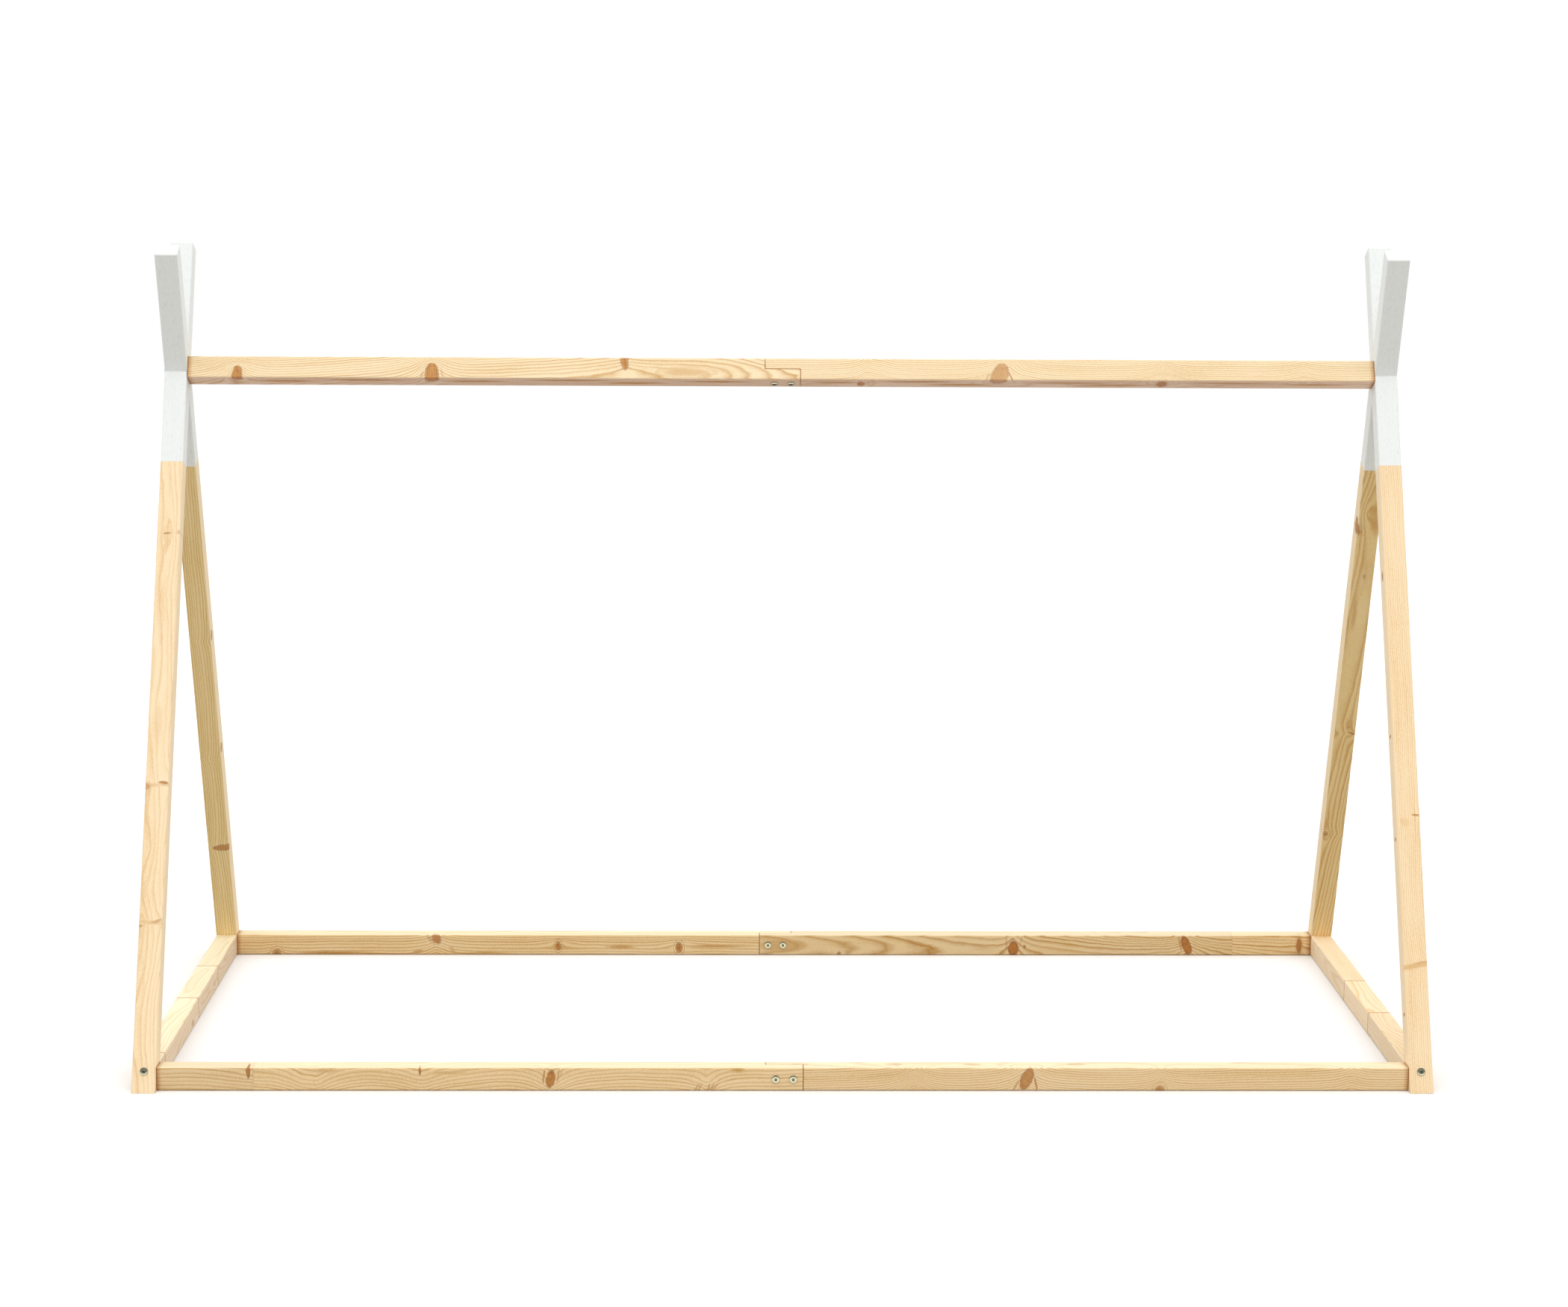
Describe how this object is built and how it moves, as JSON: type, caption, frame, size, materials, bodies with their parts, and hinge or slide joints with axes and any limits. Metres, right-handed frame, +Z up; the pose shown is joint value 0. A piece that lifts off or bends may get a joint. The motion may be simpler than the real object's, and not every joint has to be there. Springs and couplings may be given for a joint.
{
  "type": "tipi floor bed frame",
  "caption": "Tipi floor-bed frame for a child: square pine legs crossed at each end, a ridge beam between the crossings, and rails on the floor round a mattress bay.",
  "frame": {"origin": "on the floor, in the middle of the bed", "axes": "+X along the bed to the right as seen from the front, +Y from the front side to the rear side, +Z up"},
  "size_m": [2.0918, 1.0192, 1.3318],
  "materials": {
    "pine": "planed and oiled, leg tips painted white",
    "nickel": "nickel plated"
  },
  "bodies": {
    "root": {"front_left_leg": "pine", "front_right_leg": "pine", "rear_left_leg": "pine", "rear_right_leg": "pine", "front_rail_left_half": "pine", "front_rail_right_half": "pine", "rear_rail_left_half": "pine", "rear_rail_right_half": "pine", "ridge_left_half": "pine", "ridge_right_half": "pine", "left_end_rail": "pine", "right_end_rail": "pine", "left_foot_screws": "nickel", "right_foot_screws": "nickel", "left_rail_screws": "nickel", "right_rail_screws": "nickel", "left_ridge_screw": "nickel", "right_ridge_screw": "nickel", "left_lap_screws": "nickel", "right_lap_screws": "nickel"}
  },
  "joints": []
}
